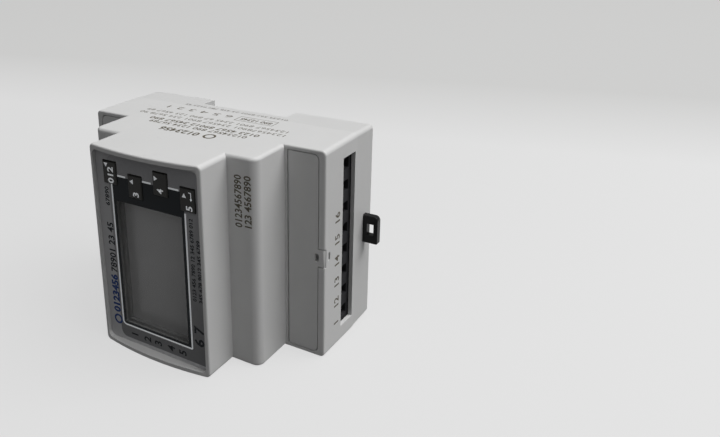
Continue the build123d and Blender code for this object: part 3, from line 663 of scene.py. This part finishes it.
class METER_OT_shells(bpy.types.Operator):
    """Finish the front case and the rear base"""

    bl_idname = "meter.shells"
    bl_label = "Shells"

    def execute(self, context):
        sizes, colours = context.scene.meter_sizes, context.scene.meter_colours
        finer("front_case", moulded("case_plastic", colours.case), sizes.case_edge, whole=False)
        finer("rear_base", moulded("base_plastic", colours.base), sizes.case_edge, whole=False)
        return {"FINISHED"}


class METER_OT_covers(bpy.types.Operator):
    """Finish the two hinged terminal covers"""

    bl_idname = "meter.covers"
    bl_label = "Terminal covers"

    def execute(self, context):
        sizes, colours = context.scene.meter_sizes, context.scene.meter_colours
        plastic = moulded("cover_plastic", colours.case)
        for side in ("bottom", "top"):
            finer(f"terminal_cover_{side}", plastic, sizes.case_edge, gap=sizes.cover_gap)
        return {"FINISHED"}


class METER_OT_panel(bpy.types.Operator):
    """Finish the sunk sheet and the display behind its lens"""

    bl_idname = "meter.panel"
    bl_label = "Panel"

    def execute(self, context):
        sizes, colours = context.scene.meter_sizes, context.scene.meter_colours
        bezel = moulded("bezel_plastic", colours.bezel, specular=0.2)
        finer("front_overlay", printed_sheet(colours, sizes), SHEET_EDGE, 1)
        finer("display_window", clear_lens(colours), FINE_EDGE)
        finer("lcd_bezel", bezel, sizes.small_edge)
        finer("lcd_glass", display_glass(colours), FINE_EDGE)
        dress("lcd_light_guide", moulded("milky_acrylic", MILKY_WHITE, 0.25))
        return {"FINISHED"}


class METER_OT_keys(bpy.types.Operator):
    """Finish the four keys, with an arrow and a number on each"""

    bl_idname = "meter.keys"
    bl_label = "Keys"

    def execute(self, context):
        sizes, colours = context.scene.meter_sizes, context.scene.meter_colours
        black = moulded("key_plastic", KEY_BLACK, 0.45, 2600.0, specular=0.22)
        # painted light: the arrows and numbers on the keys glow a little by themselves
        pale = moulded("pale_print", colours.pale_print, glow=colours.painted_glow)
        inner = moulded("plunger_plastic", PLUNGER_BLACK)
        thick = sizes.print_height
        for key, (text, long, number_spot, turn, arrow_spot) in KEY_MARKS.items():
            finer(f"key_{key}", black, sizes.small_edge)
            dress(f"plunger_{key}", inner)
            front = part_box(f"key_{key}")[0].y / MM
            spot = at(number_spot[0], front, number_spot[1])
            head = at(arrow_spot[0], front, arrow_spot[1])
            marks = [arrow(KEY_ARROW * MM, turn, head, FRONT_LEVEL, thick),
                     row(text, KEY_NUMBER * MM, spot, FRONT_RISING, thick, long * MM, sizes.stroke)]
            if key == BENT_KEY:
                for wide, high, across, up in BENT_BARS:
                    marks.append(bar(wide * MM, high * MM, at(across, front, up), FRONT_LEVEL, thick))
                size, across, up = BENT_HEAD
                marks.append(arrow(size * MM, 180, at(across, front, up), FRONT_LEVEL, thick))
            printed(f"key_{key}_marks", marks, f"{key}_key", pale)
        return {"FINISHED"}


class METER_OT_terminals(bpy.types.Operator):
    """Finish the terminal blocks with their cages and screws"""

    bl_idname = "meter.terminals"
    bl_label = "Terminals"

    def execute(self, context):
        dark = moulded("terminal_plastic", TERMINAL_GREY, 0.6, 2600.0, specular=0.08)
        zinc = metal("zinc_plate", ZINC)
        for side in ("bottom", "top"):
            finer(f"terminal_block_{side}", dark, FINE_EDGE)
            dress(f"clamp_cages_{side}", zinc)
            dress(f"terminal_screws_{side}", zinc)
        for screws in ("display_screws", "metering_screws", "power_screws", "lcd_pins"):
            dress(screws, zinc)
        return {"FINISHED"}


class METER_OT_clip(bpy.types.Operator):
    """Finish the rail clip"""

    bl_idname = "meter.clip"
    bl_label = "Rail clip"

    def execute(self, context):
        black = moulded("clip_plastic", CLIP_BLACK, 0.36, 2400.0, specular=0.3)
        finer("din_clip", black, context.scene.meter_sizes.small_edge)
        return {"FINISHED"}


class METER_OT_insides(bpy.types.Operator):
    """Finish the boards and all that stands on them"""

    bl_idname = "meter.insides"
    bl_label = "Insides"

    def execute(self, context):
        board = solder_mask("solder_mask")
        black = moulded("header_plastic", HEADER_BLACK)
        epoxy = moulded("chip_epoxy", CHIP_BLACK, 0.6, 5200.0)
        gold = metal("gold_flash", GOLD, 0.25)
        for name in ("display", "metering", "power"):
            dress(f"{name}_board", board)
        for name in ("display", "power"):
            dress(f"{name}_header_strip", black)
            dress(f"{name}_header_socket", black)
            dress(f"{name}_header_pins", gold)
        for name in ("controller_chip", "metering_chip", "optocouplers", "key_switches"):
            dress(name, epoxy)
        dress("transformer_core", moulded("ferrite", FERRITE_GREY, 0.55, 1500.0, COARSE_DEPTH))
        dress("transformer_coil", wound_tape("coil_tape", TAPE_YELLOW))
        dress("smoothing_capacitors", moulded("shrink_sleeve", SLEEVE_BLUE, 0.25, 900.0))
        dress("film_capacitor", moulded("film_box", FILM_YELLOW, 0.4))
        dress("varistors", moulded("blue_epoxy", EPOXY_BLUE, 0.3, 800.0, COARSE_DEPTH))
        return {"FINISHED"}


class METER_OT_panel_marks(bpy.types.Operator):
    """Print plain numbers on the sunk sheet"""

    bl_idname = "meter.panel_marks"
    bl_label = "Panel marks"

    def execute(self, context):
        sizes, colours = context.scene.meter_sizes, context.scene.meter_colours
        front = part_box("front_overlay")[0].y / MM
        blue = moulded("blue_print", colours.blue_print, specular=0.2)
        black = moulded("dark_print", colours.black_print, specular=0.1)
        radius, wide, across, up = BLUE_RING
        marks = rising_rows(BLUE_ROWS, front, sizes)
        marks.append(ring(radius * MM, wide * MM, at(across, front, up), FRONT_RISING, sizes.print_height))
        printed("panel_numbers_blue", marks, "case", blue)
        printed("panel_numbers_black", rising_rows(BLACK_ROWS, front, sizes), "case", black)
        return {"FINISHED"}


class METER_OT_case_marks(bpy.types.Operator):
    """Mark plain numbers on the end face, the shoulder and the top"""

    bl_idname = "meter.case_marks"
    bl_label = "Case marks"

    def execute(self, context):
        sizes, colours = context.scene.meter_sizes, context.scene.meter_colours
        brown = moulded("laser_mark", colours.laser, 0.6)
        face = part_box("front_case")[1]
        top, end = face.z / MM, face.x / MM
        marks = []
        for hole, text in enumerate(END_NUMBERS):
            spot = at(end, END_DEPTH, FIRST_POLE + POLE_STEP * hole)
            marks.append(row(text, sizes.number_height, spot, END_RISING, sizes.print_height,
                             bold=sizes.stroke))
        printed("end_numbers", marks, "case", brown)
        printed("shoulder_numbers", rising_rows(SHOULDER_ROWS, SHOULDER_FACE, sizes), "case", brown)
        thin = TOP_PRINT * sizes.print_height
        low = top - thin / MM / 2
        radius, wide, across, depth = TOP_RING
        marks = [ring(radius * MM, wide * MM, at(across, depth, low), TOP_TURNED, thin)]
        for text, height, start, stop, depth, bold in TOP_ROWS:
            spot = at((start + stop) / 2, depth, top)
            marks.append(row(text, height * MM, spot, TOP_TURNED, thin, (start - stop) * MM,
                             bold * sizes.stroke))
        for wide, high, across, depth in TOP_BARS:
            marks.append(bar(wide * MM, high * MM, at(across, depth, low), TOP_TURNED, thin))
        printed("top_numbers", marks, "case", brown)
        return {"FINISHED"}


# ---------------------------------------------------------------- stage

# The camera's place, its azimuth, elevation and roll in degrees, and what was fitted in pixels
CAMERA_SPOT = Vector((0.149443, -0.193107, 0.147298))
CAMERA_TURN = (35.494, 19.627, -1.880)
FOCAL_PIXELS = 765.20
SHIFT_PIXELS = (-128.83, -58.29)
IMAGE_WIDTH = 720
SENSOR = 36.0
FLOOR_BOUNCE = (0.04, 0.04, 0.04)
# The floor's glow: lighter on the right as if lit from there, and darker far away where the backdrop turns up
# out of the light: painted light and shade
FLOOR_SHADED_LEFT = (0.61, 0.61, 0.61)
FLOOR_LIT_RIGHT = (0.655, 0.655, 0.655)
FLOOR_FAR_SHADE = (0.53, 0.53, 0.525)
# How much of its own colour the near and the far floor keep, under what they glow with
FLOOR_NEAR_SHARE, FLOOR_FAR_SHARE = 0.15, 0.12
# The way to the far floor, along Y and back along X, and where and over what length it is reached
AWAY_DEEP, AWAY_LEFT, AWAY_EDGE, AWAY_SOFT = 0.98, 0.21, 0.305, 0.15
# Where the floor turns from its left to its right, which is painted lighter as if lit from there: painted
# light
LIT_SIDE_EDGE, LIT_SIDE_SOFT = 0.03, 0.25
FLOOR_SIZE = 12
LAMP_SPOT = Vector((0.86, 0.34, 1.66))
LAMP_TARGET = Vector((0, 0, 0.03))
LAMP_SIZE, LAMP_POWER = 1.5, 34.5
ROOM_FRONT = (0.124, 0.124, 0.127)
ROOM_BACK = (0.25, 0.25, 0.25)
# How much of the room's light is behind and above, and where it starts
BEHIND_SHARE, ABOVE_SHARE, ROOM_EDGE, ROOM_SOFT = 0.4, 0.65, 0.05, 1.0


def set_camera():
    """Sets the camera at the photograph's angle, distance and framing."""
    azimuth, elevation, roll = (math.radians(a) for a in CAMERA_TURN)
    ahead = Vector((-math.sin(azimuth) * math.cos(elevation), math.cos(azimuth) * math.cos(elevation),
                    -math.sin(elevation)))
    level = ahead.cross(UP).normalized()
    above = level.cross(ahead)
    across = level * math.cos(roll) + above * math.sin(roll)
    upward = -level * math.sin(roll) + above * math.cos(roll)
    lens = bpy.data.cameras.new("camera")
    lens.sensor_width = SENSOR
    lens.lens = FOCAL_PIXELS * SENSOR / IMAGE_WIDTH
    lens.shift_x = -SHIFT_PIXELS[0] / IMAGE_WIDTH
    lens.shift_y = SHIFT_PIXELS[1] / IMAGE_WIDTH
    lens.clip_start = 0.01
    camera = bpy.data.objects.new("camera", lens)
    turn = Matrix((across, upward, -ahead)).transposed().to_4x4()
    camera.matrix_world = Matrix.Translation(CAMERA_SPOT) @ turn
    bpy.context.scene.collection.objects.link(camera)
    bpy.context.scene.camera = camera


def set_lamp():
    """Sets the one soft square lamp, which faces its target."""
    light = bpy.data.lights.new("sky_panel", "AREA")
    light.shape = "RECTANGLE"
    light.size = LAMP_SIZE
    light.size_y = LAMP_SIZE
    light.energy = LAMP_POWER
    holder = bpy.data.objects.new("sky_panel", light)
    turn = (LAMP_TARGET - LAMP_SPOT).to_track_quat("-Z", "Y").to_matrix().to_4x4()
    holder.matrix_world = Matrix.Translation(LAMP_SPOT) @ turn
    bpy.context.scene.collection.objects.link(holder)


def floor_finish(colours):
    """Pale paper that glows a little to the eye and is darker to the light it throws back on the object; its
    glow carries painted light, lighter to the right, and painted shade, darker far away.
    """
    finish = Finish("floor_paper")
    _, (x, y, _) = finish.place()
    seen = finish.node("ShaderNodeLightPath", out="Is Camera Ray") \
        | finish.node("ShaderNodeLightPath", out="Is Glossy Ray") \
        | finish.node("ShaderNodeLightPath", out="Is Transmission Ray")
    # painted shade: the floor is darker far away, where the backdrop turns up out of the light
    away = (AWAY_DEEP * y - AWAY_LEFT * x).over(AWAY_EDGE, AWAY_SOFT)
    # painted light: the floor is lighter on the right, towards the lamp
    right = x.over(LIT_SIDE_EDGE, LIT_SIDE_SOFT)
    near, far = scaled(colours.floor, FLOOR_NEAR_SHARE), scaled(colours.floor, FLOOR_FAR_SHARE)
    shade = finish.mix(seen, FLOOR_BOUNCE, finish.mix(away, near, far))
    glow = finish.mix(away, finish.mix(right, FLOOR_SHADED_LEFT, FLOOR_LIT_RIGHT), FLOOR_FAR_SHADE)
    return finish.surface(base_color=shade, roughness=0.9, specular_ior_level=0.0,
                          emission_color=finish.mix(seen, NO_LIGHT, glow), emission_strength=1.0)


def set_room():
    """Sets the world: dim in front of the meter, lighter behind and above it."""
    world = bpy.data.worlds.new("room")
    bpy.context.scene.world = world
    room = Finish("room", world)
    way = room.node("ShaderNodeTexCoord", out="Generated")
    behind, above = (room.node("ShaderNodeSeparateXYZ", values={0: way}, out=axis) for axis in (1, 2))
    bright = (BEHIND_SHARE * behind + ABOVE_SHARE * above).over(ROOM_EDGE, ROOM_SOFT)
    shade = room.mix(bright, ROOM_FRONT, ROOM_BACK)
    end = room.tree.nodes.new("ShaderNodeOutputWorld")
    light = room.node("ShaderNodeBackground", values={"Color": shade, "Strength": 1.0})
    room.tree.links.new(light.socket, end.inputs["Surface"])


class METER_OT_stage(bpy.types.Operator):
    """Set the floor, the lamp, the world and the camera"""

    bl_idname = "meter.stage"
    bl_label = "Stage"

    def execute(self, context):
        bpy.ops.object.select_all(action="DESELECT")
        bpy.ops.mesh.primitive_plane_add(size=FLOOR_SIZE, location=(0, 0, 0))
        floor = context.object
        floor.name = "floor"
        floor.data.materials.append(floor_finish(context.scene.meter_colours))
        set_lamp()
        set_room()
        context.scene.view_settings.view_transform = "Standard"
        set_camera()
        return {"FINISHED"}


class METER_PT_sidebar(bpy.types.Panel):
    """The meter's pieces, sizes and colours"""

    bl_label = "Energy meter"
    bl_space_type = "VIEW_3D"
    bl_region_type = "UI"
    bl_category = "Meter"

    def draw(self, context):
        for group in (context.scene.meter_sizes, context.scene.meter_colours):
            for name in group.__annotations__:
                self.layout.prop(group, name)
        for step in STEPS:
            self.layout.operator(step.bl_idname)


STEPS = (METER_OT_shells, METER_OT_covers, METER_OT_panel, METER_OT_keys, METER_OT_terminals, METER_OT_clip,
         METER_OT_insides, METER_OT_panel_marks, METER_OT_case_marks, METER_OT_stage)
CLASSES = (MeterSizes, MeterColours, METER_PT_sidebar) + STEPS


def register():
    for kind in CLASSES:
        bpy.utils.register_class(kind)
    bpy.types.Scene.meter_sizes = PointerProperty(type=MeterSizes)
    bpy.types.Scene.meter_colours = PointerProperty(type=MeterColours)


def unregister():
    del bpy.types.Scene.meter_colours
    del bpy.types.Scene.meter_sizes
    for kind in reversed(CLASSES):
        bpy.utils.unregister_class(kind)


def main():
    register()
    bpy.ops.meter.shells()
    bpy.ops.meter.covers()
    bpy.ops.meter.panel()
    bpy.ops.meter.keys()
    bpy.ops.meter.terminals()
    bpy.ops.meter.clip()
    bpy.ops.meter.insides()
    bpy.ops.meter.panel_marks()
    bpy.ops.meter.case_marks()
    bpy.ops.meter.stage()


if __name__ == "__main__":
    main()
